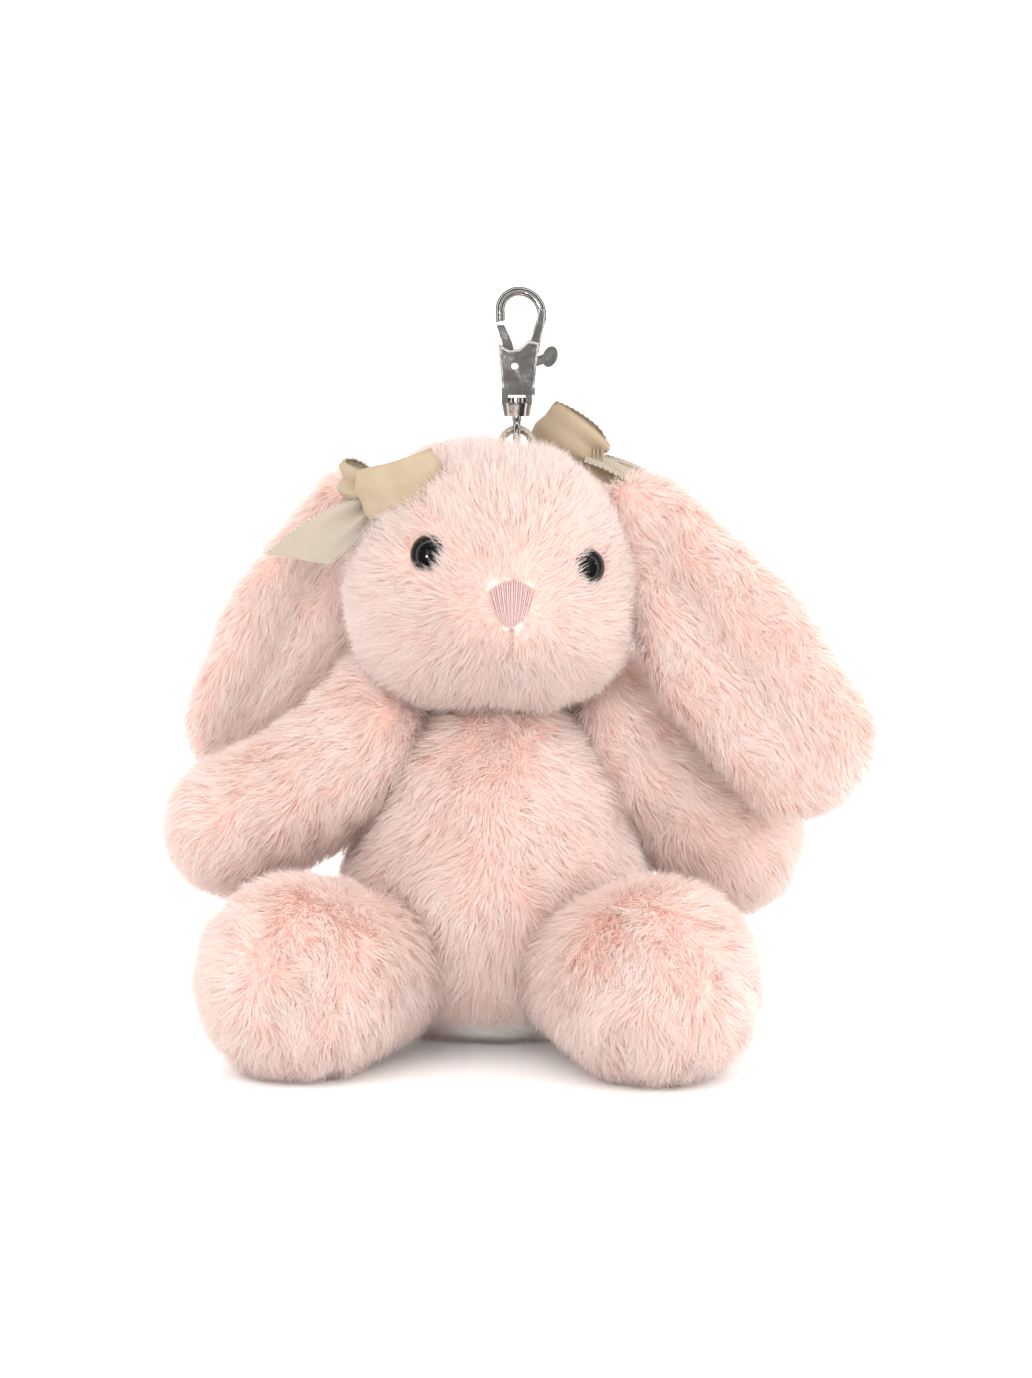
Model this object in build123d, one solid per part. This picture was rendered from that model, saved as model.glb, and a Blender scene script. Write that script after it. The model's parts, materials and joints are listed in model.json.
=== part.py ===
from build123d import *
import math
import os

# Plush bunny keychain, sitting. Millimetres, +Z up, the bunny faces -Y and +X is on the viewer's right.
# The origin is the centre of the flat seat under the torso.
# Soft covers are modelled at the height of their packed pile; the loose tips of the pile stand about
# 2.5 mm further out and are not part of these solids.

# Soft parts
WALL = 1.2                       # backing fabric and packed pile
LOOSE = 0.05                     # gap between a cover and the stuffing inside it
GAP = 0.45                       # gap between two parts that move past each other

# Torso: a belly ball, a chest ball and a neck ball on one vertical line, cut flat at the floor
BELLY_R, BELLY_Z = 29.5, 26.0
CHEST_R, CHEST_Z = 23.3, 44.0
NECK_R, NECK_Z = 10.0, 64.0

# Head: an ellipsoid, turned a little and rolled a little on the neck
HEAD = (-1.0, -5.0, 93.0)
HEAD_R, HEAD_HALF_HEIGHT = 26.5, 24.5
HEAD_ROLL, HEAD_TURN = 5.6, 9.0

# Limbs: root ball, far ball, radius at the root, radius at the far end
ARMS = {
    "left": ((-23.5, -2, 57), (-51.5, -6, 43), 11.5, 12.5),
    "right": ((24, 4, 56.5), (47.5, 6, 38), 11.5, 13.0),
}
LEGS = {
    "left": ((-22, -20, 17), (-37, -36, 18), 12.0, 18.5),
    "right": ((18, -23.5, 17), (30.5, -40, 18), 12.0, 18.5),
}
ARM_RAISE, LEG_RAISE = 45, 25

# Ears: root centre, tip centre, radii of the outline at the root, the middle and the tip
EARS = {
    "left": ((-27.5, 5, 103.5), (-50, 14, 60.5), (8.5, 13.0, 11.0)),
    "right": ((29, -4, 102.5), (60, -14, 60.5), (8.5, 13.5, 12.0)),
}
EAR_LAYER = 3.4                  # thickness of each of an ear's two layers
EAR_EDGE = 2.4                   # rounding of its rim
EAR_LIFT = 75

TAIL, TAIL_R = (0, 32, 18), 8.0

# Face
EYE_LONGITUDE, EYE_LATITUDE = 38.0, 11.5
EYE_R, EYE_DOME = 3.6, 2.4
EYE_RIM = 0.6
EYE_STEM_R, EYE_STEM = 1.3, 5.0
WASHER_R, WASHER_T = 4.6, 1.0
NOSE_LATITUDE, NOSE_WIDTH, NOSE_HEIGHT = -8.0, 7.6, 9.8
MOUTH_LATITUDE, MOUTH_LENGTH, THREAD = -27.0, 4.0, 0.9

# Hang loop and swivel eye: the loop's arch is centred on the eye's lower wire, which swings in it
CLASP_X, SWING_Z = 4.2, 118.4
RIBBON, RIBBON_T = 4.8, 0.5
ARCH_R = 3.5
LOOP_FOOT_Z, FLOP_Z = 111.5, 114.5
FLOP_RANGE = (-6, 18)
DIMPLE_R, DIMPLE_Z = 7.4, 121.6
EYE_WIRE_R = 0.75
RING_INSIDE = 5.9                # across the eye, along Y
RING_TOP_Z = SWING_Z + ARCH_R + 0.35 + EYE_WIRE_R

# Snap clasp
CUP_Z, CUP_TOP_Z, CUP_R = 124.0, 126.6, 3.0
FLANGE_Z, FLANGE_TOP_Z = 128.2, 129.6
STEM_R, STEM_HEAD_R = 0.9, 1.7
RUN = 0.06                       # radial clearance of the swivel stem and of the trigger on its rivet
HOUSING_T = 4.0                  # housing, front to back
HOOK_WIRE_R = 0.9
SPINE_T = 2.2                    # flat web that carries the housing up into the hook
PAD = (10.75, 135.7)             # centre of the trigger's thumb pad
PAD_HALF = (1.45, 2.1)           # half its width and half its height
PIVOT = (3.8, 133.8)
RIVET_R, RIVET_HOLE_R, RIVET_HEAD_R, RIVET_HEAD_T = 1.1, 0.7, 1.6, 0.35
TRIGGER_T, GATE_T = 1.0, 1.7
TRIGGER_Y = -0.35                # middle of the trigger's plate
TRIGGER_TRAVEL = 22
SPRING_WIRE_R, SPRING_R, SPRING_TURNS, SPRING_PITCH = 0.14, 1.5, 1.5, 0.32

# Bows, tied from one satin-backed velvet ribbon
BOW_RIBBON, BOW_T = 10.0, 0.6
LEFT_KNOT, LEFT_KNOT_SIZE = (-22.5, -11.5, 111.0), (3.4, 8.6, 7.6)
RIGHT_KNOT, RIGHT_KNOT_SIZE = (21.0, 10.4, 113.6), (4.0, 6.5, 12.0)
LEFT_LOOP, RIGHT_LOOP = (14, 6), (16, 7)        # length and height
LEFT_TAIL, RIGHT_TAIL = (-33.8, -3.2, 102.4), (25.6, 5.0, 112.2)
LEFT_TAIL_LENGTH, RIGHT_TAIL_LENGTH = 25, 12
SEWN = 0.02                      # gap between a bow and the head that it is sewn to

parts = {}


# ---------------------------------------------------------------- helpers

def ball(centre, radius):
    return Pos(*centre) * Sphere(radius)


def turned(face):
    """A face in the XZ plane, on the +X side of the Z axis, turned about Z."""
    return revolve(face, axis=Axis.Z, revolution_arc=360)


def disc(radius, height):
    """A disc in the XZ plane, centred on the Z axis."""
    return Plane.XZ * (Pos(0, height, 0) * Circle(radius))


def dome(centre, radius, from_angle, to_angle):
    """An arc about a point of the X axis, through its middle angle."""
    def at(angle):
        return (centre + radius * math.cos(angle), radius * math.sin(angle))
    return ThreePointArc(at(from_angle), at((from_angle + to_angle) / 2), at(to_angle))


def tapered(root, far, root_r, far_r, grow=0.0):
    """A cone with a round dome at each end, turned about the line from root to far."""
    along = Vector(*far) - Vector(*root)
    length = along.length
    near_r, end_r = root_r + grow, far_r + grow
    lean = math.pi / 2 + math.asin((end_r - near_r) / length)
    first = dome(0, near_r, math.pi, lean)
    last = dome(length, end_r, lean, 0)
    side = Line(first @ 1, last @ 0)
    spine = Line(last @ 1, first @ 0)
    limb = revolve(make_face([*first.edges(), *side.edges(), *last.edges(), *spine.edges()]),
                   axis=Axis.X, revolution_arc=360)
    frame = Plane(origin=root, x_dir=along, z_dir=along.cross(Vector(0, 0, 1)))
    return frame * limb


def swung(shape, pivot, direction, angles):
    """The shape at each of several angles about an axis, joined: the room that its swing needs."""
    axis = Axis(pivot, direction)
    return [shape.rotate(axis, angle) if angle else shape for angle in angles]


def cut_all(shape, tools):
    for tool in tools:
        shape = shape - tool
    return shape


def whole(shape):
    """The largest solid of a result, without any chips that a cut left."""
    return max(shape.solids(), key=lambda solid: solid.volume)


# ---------------------------------------------------------------- limbs and their axes

def leg_axis(root, far):
    """Level axis across a leg; a positive turn lifts the foot."""
    along = Vector(far[0] - root[0], far[1] - root[1], 0).normalized()
    return (along.Y, -along.X, 0)


def raise_axis(side):
    """Front-to-back axis of an arm; a positive turn lifts the paw outwards."""
    return (0, 1, 0) if side == "left" else (0, -1, 0)


def ear_plane(root, tip):
    """The plane that an ear lies in: X runs from root to tip and Z points to the back."""
    along = (Vector(*tip) - Vector(*root)).normalized()
    back = Vector(0, 1, 0)
    return Plane(origin=root, x_dir=along, z_dir=back - along * back.dot(along))


def ear_blank(length, radii, grow=0.0):
    """The flat outline of an ear: a hull about its root, middle and tip circles."""
    centres = (0, length * 0.55, length)
    rims = [Pos(x, 0) * Circle(r + grow) for x, r in zip(centres, radii)]
    return make_hull([edge for rim in rims for edge in rim.edges()])


# ---------------------------------------------------------------- torso

def torso_blank(inset=0.0):
    """Belly, chest and neck as one solid of revolution, flat at the floor."""
    belly, chest = disc(BELLY_R - inset, BELLY_Z), disc(CHEST_R - inset, CHEST_Z)
    flank = Plane.XZ * make_hull((Pos(0, BELLY_Z) * Circle(BELLY_R - inset)).edges()
                                 + (Pos(0, CHEST_Z) * Circle(CHEST_R - inset)).edges())
    outline = belly + chest + flank + disc(NECK_R - inset, NECK_Z)
    above_seat = Plane.XZ * (Pos(100, 100 + inset) * Rectangle(200, 200))
    return turned(outline & above_seat)


def limb_room():
    """What the torso gives up so that the arms and legs can swing in their sockets."""
    room = []
    for side, (root, far, root_r, far_r) in ARMS.items():
        limb = tapered(root, far, root_r, far_r, GAP)
        room += swung(limb, root, raise_axis(side), (0, ARM_RAISE / 2, ARM_RAISE))
    for root, far, root_r, far_r in LEGS.values():
        limb = tapered(root, far, root_r, far_r, GAP)
        room += swung(limb, root, leg_axis(root, far), (0, LEG_RAISE / 2, LEG_RAISE))
    return room


def make_torso():
    outer, inner, core = torso_blank(), torso_blank(WALL), torso_blank(WALL + LOOSE)
    room = limb_room()
    parts["torso_cover"] = whole(cut_all(outer - inner, room))
    parts["torso_stuffing"] = whole(cut_all(core, room))
    parts["tail_cover"] = whole(ball(TAIL, TAIL_R) - ball(TAIL, TAIL_R - WALL) - outer)
    parts["tail_stuffing"] = whole(ball(TAIL, TAIL_R - WALL - LOOSE) - outer)


# ---------------------------------------------------------------- arms and legs

def make_limb(name, root, far, root_r, far_r):
    """A sewn cover and its stuffing; whatever would reach below the floor is pressed flat."""
    floor = Pos(0, 0, -50) * Box(400, 400, 100)
    inner_floor = Pos(0, 0, -50 + WALL) * Box(400, 400, 100)
    inner = tapered(root, far, root_r, far_r, -WALL) - inner_floor
    core = tapered(root, far, root_r, far_r, -WALL - LOOSE) - Pos(0, 0, LOOSE) * inner_floor
    parts[name + "_cover"] = whole(tapered(root, far, root_r, far_r) - floor - inner)
    parts[name + "_stuffing"] = whole(core)


def make_limbs():
    for side, limb in ARMS.items():
        make_limb("arm_" + side, *limb)
    for side, limb in LEGS.items():
        make_limb("leg_" + side, *limb)


# ---------------------------------------------------------------- ears

def make_ears():
    """Each ear is two flat layers sewn together at the rim, with no stuffing."""
    for side, (root, tip, radii) in EARS.items():
        plane = ear_plane(root, tip)
        outline = ear_blank((Vector(*tip) - Vector(*root)).length, radii)
        for layer, direction in (("front", -1), ("back", 1)):
            slab = extrude(outline, amount=direction * EAR_LAYER, dir=(0, 0, 1))
            rim = slab.faces().sort_by(Axis.Z)[0 if direction < 0 else -1].edges()
            parts["ear_" + side + "_" + layer] = plane * whole(fillet(rim, EAR_EDGE))


def ear_room():
    """What the head gives up so that the ears can lift."""
    room = []
    for side, (root, tip, radii) in EARS.items():
        outline = ear_blank((Vector(*tip) - Vector(*root)).length, radii, GAP)
        upwards = 1 if side == "left" else -1
        fan = outline
        for step in (0.5, 1):
            fan = fan + Rot(0, 0, upwards * step * EAR_LIFT) * outline
        slab = extrude(fan, amount=EAR_LAYER + GAP, dir=(0, 0, 1), both=True)
        room.append(ear_plane(root, tip) * slab)
    return room


# ---------------------------------------------------------------- head and face

HEAD_FRAME = Pos(*HEAD) * Rot(0, HEAD_ROLL, 0) * Rot(0, 0, HEAD_TURN)


def head_blank(inset=0.0):
    radius, half_height = HEAD_R - inset, HEAD_HALF_HEIGHT - inset
    return HEAD_FRAME * scale(Sphere(1), by=(radius, radius, half_height))


def on_head(longitude, latitude):
    """A frame on the head's surface: its origin lies on the surface and its Z points outwards."""
    turn, rise = math.radians(longitude), math.radians(latitude)
    point = (HEAD_R * math.cos(rise) * math.sin(turn),
             -HEAD_R * math.cos(rise) * math.cos(turn),
             HEAD_HALF_HEIGHT * math.sin(rise))
    outward = (point[0] / HEAD_R ** 2, point[1] / HEAD_R ** 2, point[2] / HEAD_HALF_HEIGHT ** 2)
    level = (math.cos(turn), math.sin(turn), 0)
    return HEAD_FRAME * Location(Plane(origin=point, x_dir=level, z_dir=outward))


def make_eye():
    """A domed bead on a stem, turned about its own Z, which points out of the face."""
    curve = (EYE_R ** 2 + EYE_DOME ** 2) / (2 * EYE_DOME)
    cap = Pos(0, 0, EYE_DOME - curve) * Sphere(curve) - Pos(0, 0, -25) * Box(50, 50, 50)
    rim = Pos(0, 0, -EYE_RIM / 2) * Cylinder(EYE_R, EYE_RIM)
    stem = Pos(0, 0, -EYE_STEM / 2) * Cylinder(EYE_STEM_R, EYE_STEM)
    return cap + rim + stem


def make_washer():
    plate = Cylinder(WASHER_R, WASHER_T) - Cylinder(EYE_STEM_R, WASHER_T)
    return Pos(0, 0, -WALL - 0.5 - WASHER_T / 2) * plate


def nose_outline():
    """A shield: a nearly straight top edge and two full sides that meet in a point."""
    half, top, tip = NOSE_WIDTH / 2, NOSE_HEIGHT * 0.5, -NOSE_HEIGHT * 0.5
    edge = ThreePointArc((-half, top - 0.8), (0, top), (half, top - 0.8))
    right = ThreePointArc((half, top - 0.8), (half * 0.8, 0), (0, tip))
    left = ThreePointArc((0, tip), (-half * 0.8, 0), (-half, top - 0.8))
    return make_face([*edge.edges(), *right.edges(), *left.edges()])


def make_head():
    outer, inner, core = head_blank(), head_blank(WALL), head_blank(WALL + LOOSE)
    neck_room = ball((0, 0, NECK_Z), NECK_R + GAP)
    dimple = ball((CLASP_X, 0, DIMPLE_Z), DIMPLE_R)
    pivot = (CLASP_X, 0, FLOP_Z)
    loop_room = swung(loop_blank(GAP), pivot, (1, 0, 0), (FLOP_RANGE[0], 0, FLOP_RANGE[1]))
    room = [neck_room, dimple] + loop_room + ear_room()
    cover = cut_all(outer - inner, room)
    stuffing = cut_all(core, room)
    for side, sign in (("left", -1), ("right", 1)):
        place = on_head(sign * EYE_LONGITUDE, EYE_LATITUDE)
        parts["eye_" + side] = place * make_eye()
        parts["eye_washer_" + side] = place * make_washer()
        cover = cover - parts["eye_" + side] - parts["eye_washer_" + side]
        stuffing = stuffing - parts["eye_" + side] - parts["eye_washer_" + side]
    parts["head_cover"] = whole(cover)
    parts["head_stuffing"] = whole(stuffing)
    nose = on_head(0, NOSE_LATITUDE) * (Pos(0, 0, -2) * extrude(nose_outline(), 3.2))
    mouth = on_head(0, MOUTH_LATITUDE) * (Pos(0, 0, -2) * extrude(Rectangle(THREAD, MOUTH_LENGTH), 2.7))
    parts["nose_stitching"] = whole(nose - outer)
    parts["mouth_stitch"] = whole(mouth - outer)


# ---------------------------------------------------------------- hang loop and swivel eye

def loop_blank(grow=0.0):
    """A ribbon arch in the XZ plane, seen from the front as an upside-down U."""
    radius, foot = ARCH_R + grow, LOOP_FOOT_Z - grow
    inner = ARCH_R - RIBBON_T - grow
    outline = Circle(radius) + Pos(0, (foot - SWING_Z) / 2) * Rectangle(2 * radius, SWING_Z - foot)
    hole = Circle(inner) + Pos(0, (foot - SWING_Z) / 2) * Rectangle(2 * inner, SWING_Z - foot)
    band = extrude(Plane.XZ * (outline - hole), amount=RIBBON / 2 + grow, both=True)
    return Pos(CLASP_X, 0, SWING_Z) * band


def make_swivel_eye():
    """An oval wire ring in the YZ plane, with a stem and a mushroom head that turns in the clasp."""
    half = RING_INSIDE / 2 + EYE_WIRE_R
    height = RING_TOP_Z - SWING_Z
    path = Plane.YZ * (Pos(0, SWING_Z + height / 2) * RectangleRounded(2 * half, height, height * 0.49))
    wire = path.wires()[0]
    ring = sweep(Plane(origin=wire @ 0, z_dir=wire % 0) * Circle(EYE_WIRE_R), path=wire)
    stem_foot = RING_TOP_Z
    stem = Pos(0, 0, (stem_foot + CUP_TOP_Z + 0.2) / 2) * Cylinder(STEM_R, CUP_TOP_Z + 0.2 - stem_foot)
    cap = Pos(0, 0, CUP_TOP_Z + 0.55) * Cylinder(STEM_HEAD_R, 0.9)
    parts["hang_loop"] = loop_blank()
    parts["swivel_eye"] = whole(Pos(CLASP_X, 0, 0) * (ring + stem + cap))


# ---------------------------------------------------------------- clasp

def hook_wire():
    """A long open hook: up the right side, over the top and down to the tip on the left."""
    start, shoulder = (7.2, 136.6), (8.95, 142.6)
    crown, tip = (4.9, 148.55), (0.95, 144.2)
    side = Line(start, shoulder)
    over = TangentArc([shoulder, crown], tangent=side % 1)
    down = TangentArc([crown, tip], tangent=over % 1)
    end = Line(tip, (0.95, 142.6))
    path = Plane.XZ * Wire([*side.edges(), *over.edges(), *down.edges(), *end.edges()])
    return sweep(Plane(origin=path @ 0, z_dir=path % 0) * Circle(HOOK_WIRE_R), path=path)


def housing_blank():
    outline = Polyline((1.4, FLANGE_Z), (7.6, FLANGE_Z), (8.1, 134.4), (8.7, 138.4), (6.4, 138.9),
                       (4.6, 137.2), (2.8, 136.9), (0.7, 138.2), (0.7, 136.2), close=True)
    block = extrude(Plane.XZ * make_face(outline), amount=HOUSING_T / 2, both=True)
    return chamfer(block.edges().filter_by(Axis.Y, reverse=True), 0.45)


def spine():
    """The web on the hook's right side, which narrows into the round wire."""
    outline = Polyline((7.0, 137.2), (8.5, 136.4), (9.7, 142.4), (9.6, 145.0), (8.5, 145.2), (8.1, 143.0),
                       (6.7, 138.9), close=True)
    web = extrude(Plane.XZ * make_face(outline), amount=SPINE_T / 2, both=True)
    return chamfer(web.edges().filter_by(Axis.Y, reverse=True), 0.3)


def trigger_blank(grow=0.0, thick=TRIGGER_T, middle=TRIGGER_Y):
    """Gate, hub and thumb lever in one flat plate, seen from the front."""
    px, pz = PIVOT
    hub = Pos(px, pz) * Circle(2.3 + grow)
    gate = Polyline((px - 2.2, pz), (px - 2.5, 138.6), (0.2, 141.9), (1.7, 141.9), (3.3, 138.4),
                    (px + 0.6, pz), close=True)
    lever = Polyline((px, pz - 1.3), (px + 6.2, pz + 0.6), (px + 6.2, pz + 2.6), (px + 4.2, pz + 1.9),
                     (px, pz + 1.3), close=True)
    flat = hub
    for outline in (gate, lever):
        face = make_face(outline)
        flat = flat + (offset(face, grow) if grow else face)
    plate = extrude(Plane.XZ * flat, amount=thick / 2, both=True)
    return Pos(0, middle, 0) * plate


def gate_bar():
    """The gate above the housing is as thick as the hook that it closes."""
    bar = Polyline((0.95, 139.4), (0.2, 141.9), (1.7, 141.9), (2.9, 139.4), close=True)
    return extrude(Plane.XZ * make_face(bar), amount=GATE_T / 2, both=True)


def thumb_pad():
    """A rounded pad at the end of the lever, thicker than the lever."""
    pad = Pos(*PAD) * (Rot(0, 0, -20) * Ellipse(*PAD_HALF))
    return extrude(Plane.XZ * pad, amount=GATE_T / 2 + 0.3, both=True)


def make_clasp():
    px, pz = PIVOT
    pivot, across = (px, 0, pz), (0, 1, 0)
    bore = Pos(px, 0, pz) * (Rot(90, 0, 0) * Cylinder(RIVET_R + 0.02, 2 * HOUSING_T))
    slot = trigger_blank(0.3, 2.1, 0.0)
    slots = swung(slot, pivot, across, (0, TRIGGER_TRAVEL / 2, TRIGGER_TRAVEL))
    strut = Box(1.3, 2.6, FLANGE_Z - CUP_TOP_Z + 0.6)
    strut_z = (FLANGE_Z + CUP_TOP_Z) / 2
    cup = Pos(0, 0, (CUP_Z + CUP_TOP_Z) / 2) * Cone(CUP_R - 0.5, CUP_R, CUP_TOP_Z - CUP_Z)
    cup = cup - Pos(0, 0, CUP_Z) * Cylinder(STEM_R + RUN, 8)
    frame = Pos(CLASP_X, 0, 0) * cup
    flange = Pos(4.5, 0, (FLANGE_Z + FLANGE_TOP_Z) / 2) * Box(6.6, HOUSING_T + 0.8, FLANGE_TOP_Z - FLANGE_Z)
    frame = frame + flange + housing_blank()
    for sign in (-1, 1):
        frame = frame + Pos(CLASP_X + sign * (CUP_R - 0.65), 0, strut_z) * strut
    frame = cut_all(frame + spine(), slots) + hook_wire() - bore
    parts["clasp_frame"] = whole(frame)
    trigger = trigger_blank() + gate_bar() + thumb_pad()
    parts["clasp_trigger"] = whole(trigger - Pos(px, 0, pz) * (Rot(90, 0, 0) * Cylinder(RIVET_R + RUN, 8)))
    parts["clasp_rivet"] = make_rivet()
    parts["trigger_spring"] = make_spring()


def make_rivet():
    """A tube through both cheeks, rolled over at each end."""
    tube = Cylinder(RIVET_R, HOUSING_T)
    for sign in (-1, 1):
        tube = tube + Pos(0, 0, sign * (HOUSING_T + RIVET_HEAD_T) / 2) * Cylinder(RIVET_HEAD_R, RIVET_HEAD_T)
    tube = tube - Cylinder(RIVET_HOLE_R, 3 * HOUSING_T)
    return Pos(PIVOT[0], 0, PIVOT[1]) * (Rot(90, 0, 0) * tube)


def make_spring():
    """A torsion spring on the rivet, behind the trigger's plate."""
    path = Helix(SPRING_PITCH, SPRING_PITCH * SPRING_TURNS, SPRING_R)
    coil = sweep(Plane(origin=path @ 0, z_dir=path % 0) * Circle(SPRING_WIRE_R), path=path)
    back = TRIGGER_Y + TRIGGER_T / 2 + 0.2 + SPRING_WIRE_R
    return Pos(PIVOT[0], back, PIVOT[1]) * (Rot(-90, 0, 0) * coil)


# ---------------------------------------------------------------- bows

def ribbon_loop(length, height):
    """A flattened ribbon loop, open along its own Y, with its knot end at the origin."""
    ring = Ellipse(length / 2, height / 2) - Ellipse(length / 2 - BOW_T, height / 2 - BOW_T)
    return extrude(Plane.XZ * (Pos(length / 2, 0) * ring), amount=BOW_RIBBON / 2, both=True)


def knot(size):
    return fillet(Box(*size).edges(), 1.0)


def make_bows():
    """One bow at each ear: ribbon loops, a wrapped knot and a cut tail, all sewn to the head."""
    head = head_blank(-SEWN)
    left_knot = Pos(*LEFT_KNOT) * knot(LEFT_KNOT_SIZE)
    loops = Pos(*LEFT_KNOT) * (Rot(-70, -24, 0) * ribbon_loop(*LEFT_LOOP))
    tail = Rot(0, 0, 14) * (Rot(0, -38, 0) * Box(LEFT_TAIL_LENGTH, BOW_T, BOW_RIBBON))
    parts["bow_left_knot"] = whole(left_knot - head)
    parts["bow_left_loops"] = whole(loops - left_knot - head)
    parts["bow_left_tail"] = whole(Pos(*LEFT_TAIL) * tail - head - left_knot)
    right_knot = Pos(*RIGHT_KNOT) * knot(RIGHT_KNOT_SIZE)
    loops = Pos(*RIGHT_KNOT) * (Rot(0, 25, 0) * (Rot(0, 0, 180) * ribbon_loop(*RIGHT_LOOP)))
    tail = Rot(0, 25, 0) * (Rot(-35, 0, 0) * Box(RIGHT_TAIL_LENGTH, BOW_T, BOW_RIBBON))
    parts["bow_right_knot"] = whole(right_knot - head)
    parts["bow_right_loops"] = whole(loops - head - right_knot)
    parts["bow_right_tail"] = whole(Pos(*RIGHT_TAIL) * tail - head - right_knot - parts["bow_right_loops"])


# ---------------------------------------------------------------- build and write

make_torso()
make_limbs()
make_ears()
make_head()
make_swivel_eye()
make_clasp()
make_bows()

os.makedirs("parts", exist_ok=True)
for name, shape in parts.items():
    export_step(shape, os.path.join("parts", name + ".step"))
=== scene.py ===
import json
import math

import bmesh
import bpy
import numpy as np
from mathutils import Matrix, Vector
from mathutils.kdtree import KDTree


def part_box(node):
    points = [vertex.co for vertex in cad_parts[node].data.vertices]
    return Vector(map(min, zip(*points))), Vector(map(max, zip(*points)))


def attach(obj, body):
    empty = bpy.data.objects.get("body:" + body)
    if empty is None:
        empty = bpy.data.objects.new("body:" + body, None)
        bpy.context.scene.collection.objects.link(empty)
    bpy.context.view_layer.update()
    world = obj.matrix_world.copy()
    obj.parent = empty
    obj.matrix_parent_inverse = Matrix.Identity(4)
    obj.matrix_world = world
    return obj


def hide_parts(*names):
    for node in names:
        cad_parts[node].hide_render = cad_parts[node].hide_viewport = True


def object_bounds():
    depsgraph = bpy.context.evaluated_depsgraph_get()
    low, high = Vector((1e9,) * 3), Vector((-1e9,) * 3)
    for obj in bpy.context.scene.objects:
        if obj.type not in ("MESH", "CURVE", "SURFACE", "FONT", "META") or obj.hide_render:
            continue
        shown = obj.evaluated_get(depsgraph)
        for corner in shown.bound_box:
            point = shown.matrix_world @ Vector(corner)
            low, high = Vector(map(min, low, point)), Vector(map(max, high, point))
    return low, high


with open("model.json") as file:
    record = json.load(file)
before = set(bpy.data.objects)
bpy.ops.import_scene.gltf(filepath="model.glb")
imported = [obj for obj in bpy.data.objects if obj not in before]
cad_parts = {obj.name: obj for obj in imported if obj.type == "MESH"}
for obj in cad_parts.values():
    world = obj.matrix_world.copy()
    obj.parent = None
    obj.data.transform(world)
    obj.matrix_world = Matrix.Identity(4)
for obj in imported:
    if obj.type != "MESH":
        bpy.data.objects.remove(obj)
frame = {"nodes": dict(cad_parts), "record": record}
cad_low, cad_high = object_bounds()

MM = 0.001
SEED = 20

# ---------------------------------------------------------------- places, from the frame

NODES = frame["nodes"]
JOINTS = {joint["name"]: joint for joint in frame["record"]["behaviour"]["joints"]}


def middle(node):
    low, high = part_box(node)
    return (Vector(low) + Vector(high)) / 2


def pivot(joint):
    return Vector(JOINTS[joint]["pos_m"])


def axis(joint):
    return Vector(JOINTS[joint]["axis"]).normalized()


HEAD_CENTRE = middle("head_stuffing")
NOSE = middle("nose_stitching")
EYES = {side: middle("eye_" + side) for side in ("left", "right")}
TAIL = middle("tail_stuffing")


# ---------------------------------------------------------------- small helpers

def as_array(vector):
    return np.array(vector, dtype=float)


def unit(vectors):
    length = np.linalg.norm(vectors, axis=-1, keepdims=True)
    return vectors / np.maximum(length, 1e-12)


def smooth_step(low, high, value):
    t = np.clip((value - low) / (high - low), 0, 1)
    return t * t * (3 - 2 * t)


def soft_noise(points, size, seed, octaves=5):
    """A smooth value from about -1 to 1 at each point: a sum of waves of about the given size."""
    rng = np.random.default_rng(seed)
    waves = unit(rng.normal(size=(octaves, 3))) * (2 * math.pi / size)
    waves *= rng.uniform(0.6, 1.5, size=(octaves, 1))
    return np.sin(points @ waves.T + rng.uniform(0, 2 * math.pi, octaves)).sum(axis=1) / math.sqrt(octaves)


def mesh_arrays(obj):
    """World positions, vertex normals and triangles of a mesh object."""
    mesh = obj.data
    mesh.calc_loop_triangles()
    points = np.empty(len(mesh.vertices) * 3)
    normals = np.empty(len(mesh.vertices) * 3)
    triangles = np.empty(len(mesh.loop_triangles) * 3, dtype=np.int64)
    mesh.vertices.foreach_get("co", points)
    mesh.vertices.foreach_get("normal", normals)
    mesh.loop_triangles.foreach_get("vertices", triangles)
    return points.reshape(-1, 3), normals.reshape(-1, 3), triangles.reshape(-1, 3)


def link(name, mesh, material=None):
    obj = bpy.data.objects.new(name, mesh)
    bpy.context.scene.collection.objects.link(obj)
    if material is not None:
        mesh.materials.append(material)
    return obj


def apply_modifiers(obj):
    depsgraph = bpy.context.evaluated_depsgraph_get()
    mesh = bpy.data.meshes.new_from_object(obj.evaluated_get(depsgraph))
    obj.modifiers.clear()
    obj.data = mesh


def shade_smooth(obj):
    obj.data.polygons.foreach_set("use_smooth", [True] * len(obj.data.polygons))


# ---------------------------------------------------------------- materials

def new_material(name):
    material = bpy.data.materials.new(name)
    material.use_nodes = True
    nodes = material.node_tree.nodes
    return material, material.node_tree, nodes["Principled BSDF"]


def ramp(tree, stops):
    node = tree.nodes.new("ShaderNodeValToRGB")
    elements = node.color_ramp.elements
    while len(elements) < len(stops):
        elements.new(0.5)
    for element, (place, colour) in zip(elements, stops):
        element.position = place
        element.color = (*colour, 1)
    return node


def let_through(tree, shader, colour, share):
    """A share of the light passes through the material and comes out coloured."""
    through = tree.nodes.new("ShaderNodeBsdfTranslucent")
    mix = tree.nodes.new("ShaderNodeMixShader")
    mix.inputs["Fac"].default_value = share
    tree.links.new(colour, through.inputs["Color"])
    tree.links.new(shader.outputs[0], mix.inputs[1])
    tree.links.new(through.outputs[0], mix.inputs[2])
    tree.links.new(mix.outputs[0], tree.nodes["Material Output"].inputs["Surface"])


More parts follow.
